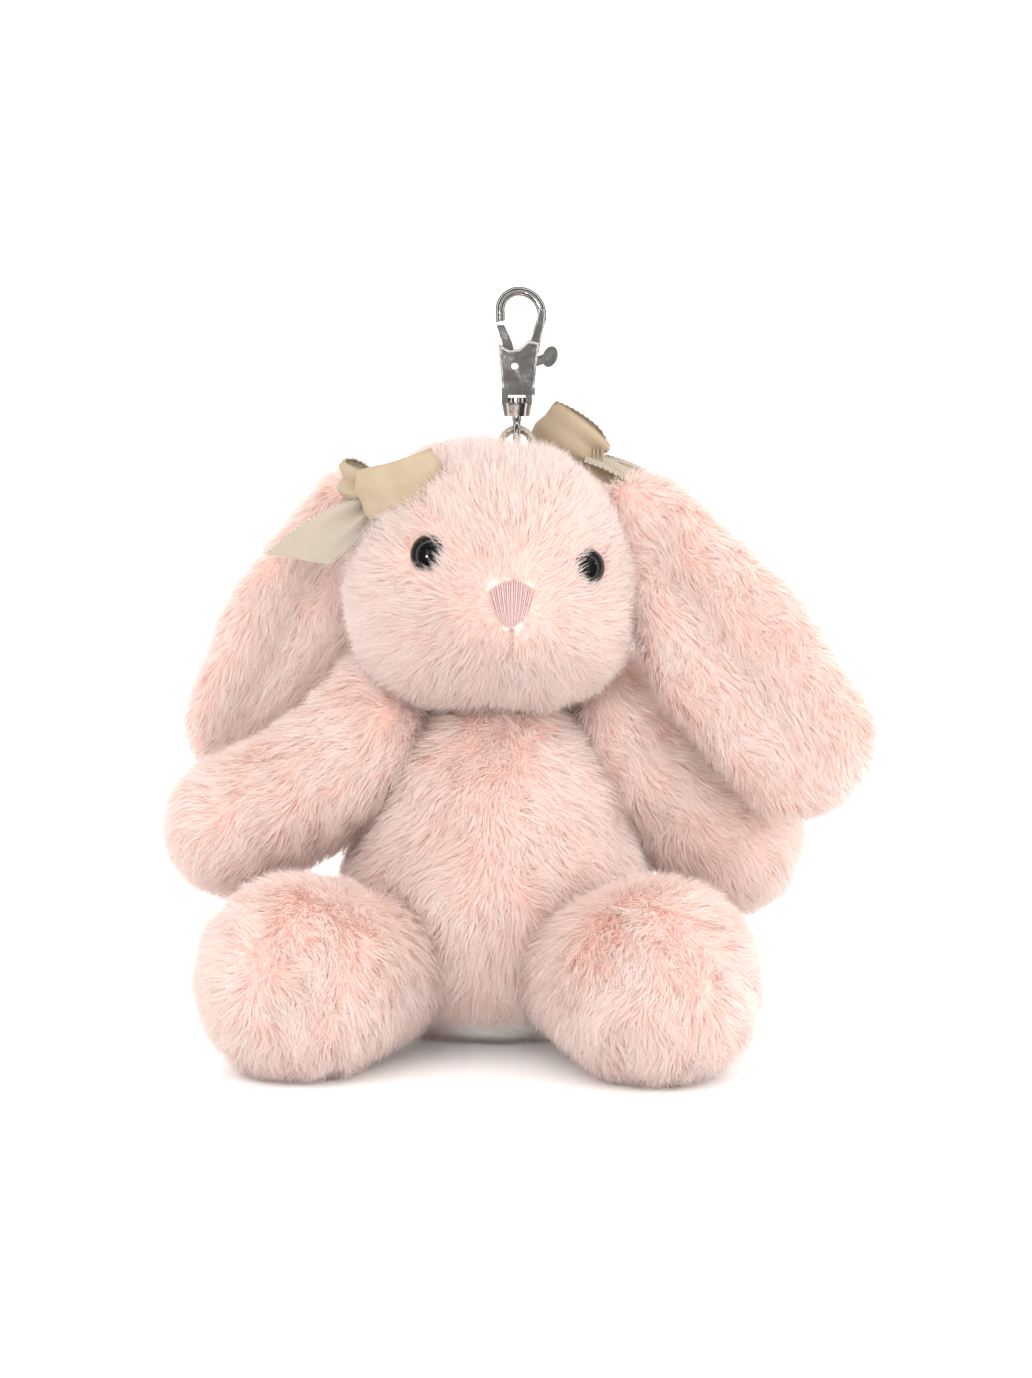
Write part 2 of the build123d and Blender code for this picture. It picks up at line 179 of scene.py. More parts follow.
def fur_material(name, root, middle_colour, tip, deep, pale):
    """Fibres: darker at the root and pale at the tip, and each fibre's own tint runs from deep to pale."""
    material, tree, shader = new_material(name)
    place = tree.nodes.new("ShaderNodeUVMap")
    place.uv_map = "OFBake"
    split = tree.nodes.new("ShaderNodeSeparateXYZ")
    along = ramp(tree, [(0.0, root), (0.45, middle_colour), (1.0, tip)])
    tint = ramp(tree, [(0.0, deep), (1.0, pale)])
    both = tree.nodes.new("ShaderNodeMix")
    both.data_type = "RGBA"
    both.blend_type = "MULTIPLY"
    both.inputs["Factor"].default_value = 1
    links = tree.links
    links.new(place.outputs["UV"], split.inputs[0])
    links.new(split.outputs["Y"], along.inputs[0])
    links.new(split.outputs["X"], tint.inputs[0])
    links.new(along.outputs["Color"], both.inputs["A"])
    links.new(tint.outputs["Color"], both.inputs["B"])
    links.new(both.outputs["Result"], shader.inputs["Base Color"])
    shader.inputs["Roughness"].default_value = 0.72
    shader.inputs["Specular IOR Level"].default_value = 0.25
    shader.inputs["Sheen Weight"].default_value = 0.35
    shader.inputs["Sheen Roughness"].default_value = 0.45
    shader.inputs["Sheen Tint"].default_value = (1.0, 0.9, 0.88, 1)
    let_through(tree, shader, both.outputs["Result"], FUR_THROUGH)
    return material


def backing_material(name, colour, dark):
    """The knitted backing under the pile: a fine knit in the bump, over soft patches of colour."""
    material, tree, shader = new_material(name)
    links = tree.links
    coordinates = tree.nodes.new("ShaderNodeTexCoord")
    cells = tree.nodes.new("ShaderNodeTexVoronoi")
    cells.inputs["Scale"].default_value = 900
    patches = tree.nodes.new("ShaderNodeTexNoise")
    patches.inputs["Scale"].default_value = 90
    shade = ramp(tree, [(0.25, dark), (0.75, colour)])
    bump = tree.nodes.new("ShaderNodeBump")
    bump.inputs["Strength"].default_value = 0.5
    bump.inputs["Distance"].default_value = 0.0003
    links.new(coordinates.outputs["Object"], cells.inputs["Vector"])
    links.new(coordinates.outputs["Object"], patches.inputs["Vector"])
    links.new(patches.outputs["Fac"], shade.inputs[0])
    links.new(cells.outputs["Distance"], bump.inputs["Height"])
    links.new(shade.outputs["Color"], shader.inputs["Base Color"])
    links.new(bump.outputs["Normal"], shader.inputs["Normal"])
    shader.inputs["Roughness"].default_value = 0.9
    return material


def metal_material(name, colour, roughness):
    """Nickel plate: bright, with faint handling marks and a slightly uneven cast surface."""
    material, tree, shader = new_material(name)
    links = tree.links
    coordinates = tree.nodes.new("ShaderNodeTexCoord")
    marks = tree.nodes.new("ShaderNodeTexNoise")
    marks.inputs["Scale"].default_value = 600
    marks.inputs["Detail"].default_value = 6
    spread = tree.nodes.new("ShaderNodeMapRange")
    spread.inputs["To Min"].default_value = roughness * 0.6
    spread.inputs["To Max"].default_value = roughness * 1.6
    cast = tree.nodes.new("ShaderNodeTexNoise")
    cast.inputs["Scale"].default_value = 350
    bump = tree.nodes.new("ShaderNodeBump")
    bump.inputs["Strength"].default_value = 0.6
    bump.inputs["Distance"].default_value = 0.0003
    for texture in (marks, cast):
        links.new(coordinates.outputs["Object"], texture.inputs["Vector"])
    links.new(marks.outputs["Fac"], spread.inputs["Value"])
    links.new(spread.outputs["Result"], shader.inputs["Roughness"])
    links.new(cast.outputs["Fac"], bump.inputs["Height"])
    links.new(bump.outputs["Normal"], shader.inputs["Normal"])
    shader.inputs["Base Color"].default_value = (*colour, 1)
    shader.inputs["Metallic"].default_value = 1
    return material


def ribbon_material():
    """Velvet on the face, the left half of the map, and ribbed satin with dotted edges on the back."""
    material, tree, shader = new_material("velvet_ribbon")
    links, nodes = tree.links, tree.nodes
    place = nodes.new("ShaderNodeUVMap")
    place.uv_map = "OFBake"
    split = nodes.new("ShaderNodeSeparateXYZ")
    links.new(place.outputs["UV"], split.inputs[0])

    def maths(operation, *values):
        node = nodes.new("ShaderNodeMath")
        node.operation = operation
        for socket, value in zip(node.inputs, values):
            if isinstance(value, (int, float)):
                socket.default_value = value
            else:
                links.new(value, socket)
        return node.outputs[0]

    def blended(factor, first, second):
        node = nodes.new("ShaderNodeMix")
        node.data_type = "RGBA"
        links.new(factor, node.inputs["Factor"])
        for socket, colour in (("A", first), ("B", second)):
            if isinstance(colour, tuple):
                node.inputs[socket].default_value = (*colour, 1)
            else:
                links.new(colour, node.inputs[socket])
        return node.outputs["Result"]

    across, along = split.outputs["X"], split.outputs["Y"]
    back = maths("GREATER_THAN", across, 0.5)
    from_edge = maths("PINGPONG", across, 0.25)
    selvedge = maths("LESS_THAN", from_edge, SELVEDGE)
    ribs = maths("SINE", maths("MULTIPLY", along, 2 * math.pi * RIBBON_MAP / RIB_PITCH))
    beads = maths("SINE", maths("MULTIPLY", along, 2 * math.pi * RIBBON_MAP / DOT_PITCH))
    dots = maths("GREATER_THAN", beads, 0.1)
    nap = nodes.new("ShaderNodeTexNoise")
    nap.inputs["Scale"].default_value = 260
    nap.inputs["Detail"].default_value = 5
    fine = nodes.new("ShaderNodeTexNoise")
    fine.inputs["Scale"].default_value = 3000
    coordinates = nodes.new("ShaderNodeTexCoord")
    for texture in (nap, fine):
        links.new(coordinates.outputs["Object"], texture.inputs["Vector"])
    velvet = ramp(tree, [(0.3, VELVET_DARK), (0.7, VELVET)])
    links.new(nap.outputs["Fac"], velvet.inputs[0])
    satin = blended(maths("MULTIPLY_ADD", ribs, 0.5, 0.5), SATIN_DARK, SATIN)
    edging = blended(dots, SATIN_DARK, EDGE_THREAD)
    both = blended(back, velvet.outputs["Color"], satin)
    colour = blended(maths("MULTIPLY", selvedge, back), both, edging)
    links.new(colour, shader.inputs["Base Color"])
    let_through(tree, shader, colour, RIBBON_THROUGH)
    links.new(maths("SUBTRACT", 0.85, maths("MULTIPLY", back, 0.45)), shader.inputs["Roughness"])
    height = maths("ADD", maths("MULTIPLY", maths("MULTIPLY", ribs, back), 0.4), fine.outputs["Fac"])
    bump = nodes.new("ShaderNodeBump")
    bump.inputs["Strength"].default_value = 0.35
    bump.inputs["Distance"].default_value = 0.0002
    links.new(height, bump.inputs["Height"])
    links.new(bump.outputs["Normal"], shader.inputs["Normal"])
    shader.inputs["Sheen Weight"].default_value = 0.3
    shader.inputs["Sheen Roughness"].default_value = 0.35
    shader.inputs["Sheen Tint"].default_value = (1.0, 0.93, 0.8, 1)
    return material


def plain_material(name, colour, roughness, grain=0.0, scale=500, shine=0.5, dark=0.85):
    material, tree, shader = new_material(name)
    links = tree.links
    coordinates = tree.nodes.new("ShaderNodeTexCoord")
    noise = tree.nodes.new("ShaderNodeTexNoise")
    noise.inputs["Scale"].default_value = scale
    links.new(coordinates.outputs["Object"], noise.inputs["Vector"])
    shade = ramp(tree, [(0.3, tuple(c * dark for c in colour)), (0.7, colour)])
    links.new(noise.outputs["Fac"], shade.inputs[0])
    links.new(shade.outputs["Color"], shader.inputs["Base Color"])
    shader.inputs["Roughness"].default_value = roughness
    shader.inputs["Specular IOR Level"].default_value = shine
    if grain:
        bump = tree.nodes.new("ShaderNodeBump")
        bump.inputs["Strength"].default_value = grain
        bump.inputs["Distance"].default_value = 0.0002
        links.new(noise.outputs["Fac"], bump.inputs["Height"])
        links.new(bump.outputs["Normal"], shader.inputs["Normal"])
    return material


RIBBON_MAP = 40.0                # millimetres of ribbon along the map's height
RIB_PITCH, DOT_PITCH = 0.55, 1.1
SELVEDGE = 0.018                 # the selvedge's share of the map's width
EDGE_THREAD = (0.86, 0.82, 0.75)
RIBBON_THROUGH, FUR_THROUGH = 0.32, 0.48     # share of the light that passes through
VELVET, VELVET_DARK = (0.56, 0.45, 0.32), (0.51, 0.40, 0.27)
SATIN, SATIN_DARK = (0.62, 0.55, 0.46), (0.50, 0.43, 0.35)
RIBBON = ribbon_material()
PINK_ROOT, PINK_MIDDLE, PINK_TIP = (0.96, 0.74, 0.675), (0.965, 0.85, 0.80), (0.95, 0.87, 0.835)
DEEP_TINT, PALE_TINT = (0.99, 0.93, 0.91), (1.0, 1.02, 1.03)
FUR = fur_material("pink_pile", PINK_ROOT, PINK_MIDDLE, PINK_TIP, DEEP_TINT, PALE_TINT)
# The face's pile is darker than the rest: partly its own greyer tone, partly painted shade that offsets the
# extra light the head catches.
FACE_GREY_AND_PAINTED_SHADE_TINTS = (0.925, 0.895, 0.88), (0.94, 0.94, 0.95)
FACE_FUR_GREY_AND_PAINTED_SHADE = fur_material("face_pile_grey_and_painted_shade", PINK_ROOT, PINK_MIDDLE, PINK_TIP, *FACE_GREY_AND_PAINTED_SHADE_TINTS)
BACKING = backing_material("pink_backing", (0.93, 0.66, 0.585), (0.90, 0.58, 0.51))
NICKEL = metal_material("nickel_plate", (0.66, 0.63, 0.60), 0.15)
SPRING = metal_material("spring_wire", (0.42, 0.42, 0.43), 0.3)
BLACK = plain_material("black_bead", (0.006, 0.005, 0.006), 0.05, shine=0.45)
THREAD = plain_material("mauve_thread", (0.66, 0.46, 0.45), 0.42, 0.2, 2500, dark=0.75)
FILL = plain_material("fibre_fill", (0.92, 0.92, 0.9), 0.95, 0.6, 900)
NATURAL = plain_material("natural_plastic", (0.82, 0.82, 0.79), 0.4)


# ---------------------------------------------------------------- skins

def hull_of(name, nodes):
    """The convex hull of CAD solids as a new mesh object: their shape without sockets and slots."""
    cloud, shape = bmesh.new(), bmesh.new()
    for node in nodes:
        cloud.from_mesh(NODES[node].data)
    for point in cloud.verts:
        shape.verts.new(point.co)
    cloud.free()
    bmesh.ops.convex_hull(shape, input=shape.verts, use_existing_faces=False)
    loose = [point for point in shape.verts if not point.link_faces]
    bmesh.ops.delete(shape, geom=loose, context="VERTS")
    mesh = bpy.data.meshes.new(name)
    shape.to_mesh(mesh)
    shape.free()
    return link(name, mesh)


def remeshed(obj, voxel, rounds):
    remesh = obj.modifiers.new("remesh", "REMESH")
    remesh.mode = "VOXEL"
    remesh.voxel_size = voxel
    smooth = obj.modifiers.new("smooth", "SMOOTH")
    smooth.factor = 0.5
    smooth.iterations = rounds
    apply_modifiers(obj)
    shade_smooth(obj)


def push(obj, distance):
    """Moves each point along its normal by a distance, or by one for each point."""
    points, normals, _ = mesh_arrays(obj)
    points += normals * np.reshape(distance, (-1, 1))
    obj.data.vertices.foreach_set("co", points.ravel())
    obj.data.update()


# ---------------------------------------------------------------- pile

STEPS = 3                        # points along a fibre, the last one its tip
TINTS = 48                       # columns of the tint ramp that fibres are laid in
PER_PIECE = 60_000               # fibres in one mesh
THIN = 1.0
SUNK = 0.15                      # millimetres from a fibre's root down into the skin
OVER_FLOOR = 0.12                # millimetres between the floor and the lowest fibres
WILD = 0.34                      # how far single fibres stray from the brushed direction
CLUMP = 0.34                     # how far tips are drawn together in a tuft
TUFT = 3.0                       # square millimetres of skin to a tuft


def scattered(obj, count, rng):
    """Points spread evenly over a mesh, with the surface's smooth normals."""
    points, normals, triangles = mesh_arrays(obj)
    a, b, c = (points[triangles[:, k]] for k in range(3))
    area = np.linalg.norm(np.cross(b - a, c - a), axis=1)
    chosen = rng.choice(len(triangles), size=count, p=area / area.sum())
    u, v = rng.random(count), rng.random(count)
    flip = u + v > 1
    u[flip], v[flip] = 1 - u[flip], 1 - v[flip]
    weights = np.stack([1 - u - v, u, v], axis=1)[:, :, None]
    where = (points[triangles[chosen]] * weights).sum(axis=1)
    facing = unit((normals[triangles[chosen]] * weights).sum(axis=1))
    return where, facing, area.sum() / 2


def nearest(points, centres):
    """For each point, the index of the nearest centre."""
    tree = KDTree(len(centres))
    for k, centre in enumerate(centres):
        tree.insert(centre, k)
    tree.balance()
    return np.array([tree.find(point)[1] for point in points])


def fibres(name, body, skin, density, length, comb, keep=None, width=0.14, lean=(36, 71), seed=0, fur=FUR):
    """Lays tapered fibres over a skin, in meshes of at most PER_PIECE fibres.

    density is in fibres per square millimetre, length and width in millimetres, and lean is the angle from
    the surface's normal at the root and at the tip, in degrees. comb(points, normals) gives the direction
    that the pile is brushed in, length may be a function of the points, and keep(points, normals) says
    where fibres grow."""
    rng = np.random.default_rng(SEED + seed)
    _, _, area = scattered(skin, 1, rng)
    count = int(area / MM ** 2 * density * THIN)
    root, normal, _ = scattered(skin, count, rng)
    if keep is not None:
        kept = keep(root, normal)
        root, normal = root[kept], normal[kept]
    count = len(root)
    full = length(root) if callable(length) else np.full(count, float(length))
    full = full * MM * rng.uniform(0.75, 1.12, count)
    brushed = unit(comb(root, normal))
    swirl = np.stack([soft_noise(root, 10 * MM, SEED + k) for k in (1, 2, 3)], axis=1)
    brushed = brushed + 0.42 * swirl + rng.normal(scale=WILD, size=(count, 3))
    brushed -= normal * (brushed * normal).sum(axis=1, keepdims=True)
    brushed = unit(brushed)
    start, end = np.radians(lean[0]), np.radians(lean[1])
    start = start + rng.normal(scale=0.12, size=count)
    end = end + rng.normal(scale=0.16, size=count) + 0.12 * soft_noise(root, 9 * MM, SEED + 9)
    points = np.empty((STEPS, count, 3))
    points[0] = root - normal * SUNK * MM
    for step in range(1, STEPS):
        angle = (start + (end - start) * (step - 0.5) / (STEPS - 1))[:, None]
        heading = normal * np.cos(angle) + brushed * np.sin(angle)
        points[step] = points[step - 1] + heading * (full / (STEPS - 1))[:, None]
    centres = rng.choice(count, size=max(1, int(area / MM ** 2 / TUFT)), replace=False)
    mine = centres[nearest(root, root[centres])]
    for step in range(1, STEPS):
        pull = CLUMP * (step / (STEPS - 1)) ** 1.5 * rng.uniform(0.4, 1.0, count)[:, None]
        points[step] += (points[step][mine] - points[step]) * pull
    points[:, :, 2] = np.maximum(points[:, :, 2], OVER_FLOOR * MM)
    patch = 0.5 + 0.16 * soft_noise(root, 16 * MM, SEED + 4)
    patch += 0.16 * rng.normal(size=count)[mine] + rng.normal(scale=0.12, size=count)
    for part in range(math.ceil(count / PER_PIECE)):
        these = slice(part * PER_PIECE, (part + 1) * PER_PIECE)
        piece = strips(f"{name}_{part + 1}", points[:, these], normal[these], patch[these], width, rng, fur)
        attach(piece, body)


def strips(name, points, normal, patch, width, rng, fur):
    """One mesh of flat tapered strips along the given lines; patch is each fibre's place in the tint ramp."""
    steps, count, _ = points.shape
    along = unit(points[-1] - points[0])
    side = unit(np.cross(along, normal))
    twist = rng.uniform(-1.1, 1.1, count)[:, None]
    side = unit(side * np.cos(twist) + np.cross(along, side) * np.sin(twist))
    taper = [1.0, 0.8]
    half = 0.5 * width * MM * rng.uniform(0.7, 1.25, count)[:, None]
    rows = []
    for step in range(steps - 1):
        rows += [points[step] - side * half * taper[step], points[step] + side * half * taper[step]]
    rows.append(points[-1])
    vertices = np.stack(rows, axis=1).reshape(-1, 3)
    per = 2 * steps - 1
    first = (np.arange(count) * per)[:, None]
    quads = np.array([[2 * k, 2 * k + 1, 2 * k + 3, 2 * k + 2] for k in range(steps - 2)]).ravel()
    tip = np.array([2 * steps - 4, 2 * steps - 3, 2 * steps - 2])
    loops = (first + np.concatenate([quads, tip])[None, :]).ravel()
    totals = np.tile([4] * (steps - 2) + [3], count)
    starts = np.concatenate([[0], np.cumsum(totals)[:-1]])
    mesh = bpy.data.meshes.new(name)
    mesh.vertices.add(len(vertices))
    mesh.vertices.foreach_set("co", vertices.ravel())
    mesh.loops.add(len(loops))
    mesh.loops.foreach_set("vertex_index", loops)
    mesh.polygons.add(len(totals))
    mesh.polygons.foreach_set("loop_start", starts)
    mesh.polygons.foreach_set("use_smooth", np.ones(len(totals), dtype=bool))
    mesh.update(calc_edges=True)
    column = np.floor(np.clip(patch, 0, 0.999) * TINTS)
    left, right = (column + 0.1) / TINTS, (column + 0.9) / TINTS
    height = np.linspace(0.01, 0.99, steps)
    corner_u = np.stack([left, right] * (steps - 1) + [(left + right) / 2], axis=1)
    corner_v = np.tile(np.repeat(height, 2)[:per], (count, 1))
    uv = np.stack([corner_u.ravel()[loops], corner_v.ravel()[loops]], axis=1)
    layer = mesh.uv_layers.new(name="OFBake")
    layer.uv.foreach_set("vector", uv.ravel())
    facing = np.cross(side, along)
    facing *= np.sign((facing * normal).sum(axis=1, keepdims=True) + 1e-9)
    shown = unit(0.9 * normal + 0.28 * facing)
    mesh.normals_split_custom_set_from_vertices(np.repeat(shown, per, axis=0).tolist())
    return link(name, mesh, fur)


# ---------------------------------------------------------------- how the pile is brushed

def away_from(point):
    def comb(points, normals):
        return points - as_array(point)
    return comb


def head_comb(points, normals):
    """Outwards from the nose in front, and down at the back."""
    out = unit(points - as_array(NOSE))
    behind = smooth_step(-4 * MM, 14 * MM, points[:, 1] - HEAD_CENTRE.y)[:, None]
    return out * (1 - behind) + np.array([0, 0.25, -1]) * behind


def torso_comb(points, normals):
    """Down, and outwards from a parting down the middle."""
    sideways = np.clip(points[:, 0] / (16 * MM), -0.8, 0.8)
    return np.stack([sideways, np.zeros(len(points)), -np.ones(len(points))], axis=1)


def limb_comb(root, far, drop, spread=0.0):
    """Along a limb and down, and spread outwards from its far end."""
    along = unit(as_array(far) - as_array(root))

    def comb(points, normals):
        outwards = unit(points - as_array(far))
        return along + np.array([0, 0, -drop]) + spread * outwards
    return comb


# ---------------------------------------------------------------- soft parts


def stuffed_skin(part, body, shape=None):
    """The closed skin of a stuffed part, just over its stuffing; shape(points) moves its points."""
    obj = hull_of(part + "_skin", [part + "_stuffing"])
    remeshed(obj, 1.5 * MM, 6)
    push(obj, 0.7 * MM)
    if shape is not None:
        reshape(obj, shape)
    obj.data.materials.clear()
    obj.data.materials.append(BACKING)
    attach(obj, body)
    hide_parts(part + "_cover")
    return obj


def reshape(obj, shape):
    points, _, _ = mesh_arrays(obj)
    obj.data.vertices.foreach_set("co", shape(points).ravel())
    obj.data.update()


def head_shape(points):
    """Full cheeks beside a flat chin, a low muzzle and a hollow for the hang loop."""
    moved = points.copy()
    offset = points - as_array(HEAD_CENTRE)
    angle = np.arctan2(-offset[:, 2], np.abs(offset[:, 0]))
    cheek = np.clip(np.sin(2 * angle), 0, 1) ** 1.5 * smooth_step(12 * MM, -6 * MM, offset[:, 1])
    moved[:, 0] += offset[:, 0] * 0.16 * cheek
    moved[:, 2] += offset[:, 2] * 0.14 * cheek
    from_nose = np.linalg.norm((points - as_array(NOSE)) * np.array([1, 0.5, 1]), axis=1)
    moved[:, 1] -= 1.6 * MM * np.exp(-(from_nose / (9 * MM)) ** 2)
    loop = np.hypot(points[:, 0] - pivot("loop_flop").x, points[:, 1] - pivot("loop_flop").y)
    moved[:, 2] -= 1.8 * MM * np.exp(-(loop / (6 * MM)) ** 2) * (offset[:, 2] > 0)
    return moved


def torso_shape(points):
    """The belly curls under in front, where it leaves the bottom of the stuffing uncovered."""
    moved = points.copy()
    low, forward = smooth_step(12 * MM, 0, points[:, 2]), smooth_step(-4 * MM, -18 * MM, points[:, 1])
    moved[:, 2] += 4.5 * MM * low * forward
    return moved


def arm_shape(side):
    """A full shoulder."""
    root = as_array(pivot(f"arm_{side}_raise"))

    def shape(points):
        moved = points.copy()
        above = np.clip(points[:, 2] - root[2], 0, None) / (12 * MM)
        moved[:, 2] += 9.5 * MM * above * np.exp(-((points[:, 0] - root[0]) / (15 * MM)) ** 2)
        return moved
    return shape


def ear_shape(side):
    """Puffed along the middle, thin at the rim, with a soft lengthwise crease on the front."""
    root, across = as_array(pivot(f"ear_{side}_lift")), as_array(axis(f"ear_{side}_lift"))
    across = across * np.sign(-across[1])
    far = as_array(middle(f"ear_{side}_front"))
    along = unit(far - root - across * np.dot(far - root, across))
    sideways = np.cross(along, across)

    def shape(points):
        offset = points - root
        high, wide, long = offset @ across, offset @ sideways, offset @ along
        rim = np.clip(np.abs(wide) / (13 * MM), 0, 1)
        high = high * (1.05 - 0.35 * rim ** 2)
        crease = 1.5 * MM * np.exp(-((wide - 1.5 * MM) / (3.2 * MM)) ** 2)
        crease *= smooth_step(0, 12 * MM, long) * smooth_step(56 * MM, 34 * MM, long)
        high = high - crease * (high > 0)
        high = high + 1.2 * MM * np.sin(long / (17 * MM)) * smooth_step(6 * MM, 20 * MM, long)
        return root + across * high[:, None] + sideways * (wide * 1.1)[:, None] + along * long[:, None]
    return shape


def ear_skin(side):
    part = "ear_" + side
    obj = hull_of(part + "_skin", [part + "_front", part + "_back"])
    remeshed(obj, 1.2 * MM, 8)
    reshape(obj, ear_shape(side))
    obj.data.materials.clear()
    obj.data.materials.append(BACKING)
    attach(obj, part)
    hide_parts(part + "_front", part + "_back")
    return obj


def clear_of_face(points, normals):
    """No pile grows under the eyes or the nose."""
    kept = np.ones(len(points), dtype=bool)
    for centre in EYES.values():
        kept &= np.linalg.norm(points - as_array(centre), axis=1) > 3.2 * MM
    drop = NOSE.z + 2.5 * MM - points[:, 2]
    half = np.clip(3.9 * MM - 0.36 * np.maximum(drop, 0), 0, None)
    on_nose = (np.abs(points[:, 0] - NOSE.x) < half) & (np.abs(points[:, 2] - NOSE.z) < 4.2 * MM)
    on_mouth = (np.abs(points[:, 0] - NOSE.x) < 0.7 * MM) & (drop > 4 * MM) & (drop < 11 * MM)
    return kept & ~((on_nose | on_mouth) & (points[:, 1] < HEAD_CENTRE.y))


def head_length(points):
    """Short beside the nose and the eyes, and round the hang loop."""
    from_nose = np.linalg.norm(points - as_array(NOSE), axis=1) / MM
    length = 3.2 + 2.8 * smooth_step(4, 18, from_nose)
    for centre in EYES.values():
        near = np.linalg.norm(points - as_array(centre), axis=1) / MM
        length *= 0.72 + 0.28 * smooth_step(3.5, 8, near)
    loop = np.hypot(points[:, 0] - pivot("loop_flop").x, points[:, 1] - pivot("loop_flop").y) / MM
    crown = smooth_step(14 * MM, 22 * MM, points[:, 2] - HEAD_CENTRE.z)
    return length * (1 + crown * (0.75 * smooth_step(3, 10, loop) - 0.5))


def make_plush():
    head = stuffed_skin("head", "head", head_shape)
    # The head's pile takes the darker face tints: partly its own greyer tone, partly painted shade.
    fibres("head_pile", "head", head, 11, head_length, head_comb, clear_of_face, width=0.13, seed=1,
           fur=FACE_FUR_GREY_AND_PAINTED_SHADE)
    torso = stuffed_skin("torso", "torso", torso_shape)
    fibres("torso_pile", "torso", torso, 10.5, 6.0, torso_comb, seed=2)
    tail = stuffed_skin("tail", "torso")
    fibres("tail_pile", "torso", tail, 9, 6.5, away_from(TAIL), lean=(10, 35), seed=3)
    for k, side in enumerate(("left", "right")):
        arm, leg, ear = "arm_" + side, "leg_" + side, "ear_" + side
        comb = limb_comb(pivot(arm + "_raise"), middle(arm + "_cover"), 0.35)
        fibres(arm + "_pile", arm, stuffed_skin(arm, arm, arm_shape(side)), 10.5, 6.0, comb, seed=10 + k)
        low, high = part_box(leg + "_cover")
        foot = Vector(((low[0] if side == "left" else high[0]) * 0.62 + middle(leg + "_cover").x * 0.38,
                       low[1], middle(leg + "_cover").z))
        comb = limb_comb(pivot(leg + "_raise"), foot, 0.6, 0.9)
        fibres(leg + "_pile", leg, stuffed_skin(leg, leg), 10.5, 6.0, comb, seed=20 + k)
        comb = limb_comb(pivot(ear + "_lift"), middle(ear + "_front"), 0.1)
        fibres(ear + "_pile", ear, ear_skin(side), 10.5, 5.6, comb, seed=30 + k)


# ---------------------------------------------------------------- ribbons

RIBBON_WIDTH = 10.0              # flat, in millimetres
RIBBON_THICK = 0.36
ACROSS = 17                      # points across a ribbon


def curve_through(stations, count):
    """Points spread evenly along a smooth curve through the stations, which may hold more than places."""
    given = np.array(stations, dtype=float)
    padded = np.vstack([2 * given[0] - given[1], given, 2 * given[-1] - given[-2]])
    fine = []
    for k in range(1, len(padded) - 2):
        before, first, second, after = padded[k - 1:k + 3]
        for t in np.linspace(0, 1, 24, endpoint=False):
            fine.append(0.5 * (2 * first + (second - before) * t
                               + (2 * before - 5 * first + 4 * second - after) * t ** 2
                               + (3 * first - before - 3 * second + after) * t ** 3))
    fine = np.vstack([fine, given[-1]])
    reach = np.concatenate([[0], np.cumsum(np.linalg.norm(np.diff(fine[:, :3], axis=0), axis=1))])
    even = np.linspace(0, reach[-1], count)
    return np.stack([np.interp(even, reach, column) for column in fine.T], axis=1), reach[-1]


